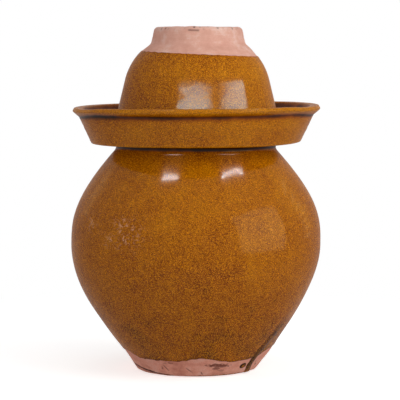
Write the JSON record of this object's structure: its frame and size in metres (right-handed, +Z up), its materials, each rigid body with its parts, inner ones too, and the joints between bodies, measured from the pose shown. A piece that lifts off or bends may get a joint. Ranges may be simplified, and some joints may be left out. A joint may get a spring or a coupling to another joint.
{
  "type": "pickle crock",
  "caption": "Amber-glazed stoneware pickle crock: a round-bellied jar with a flared water-seal trough round its neck, shut by a bowl-shaped lid. Foot and lid ring are bare clay.",
  "frame": {"origin": "middle of the base, on the surface that the crock stands on", "axes": "+Z up along the crock's own axis; the face in the reference view looks towards -Y"},
  "size_m": [0.22, 0.22, 0.3017],
  "materials": {
    "amber_glaze": "glossy amber glaze with fine dark speckle",
    "bare_clay": "matt, unglazed pinkish clay"
  },
  "bodies": {
    "root": {"crock": "amber_glaze", "lid": "amber_glaze"}
  },
  "joints": []
}
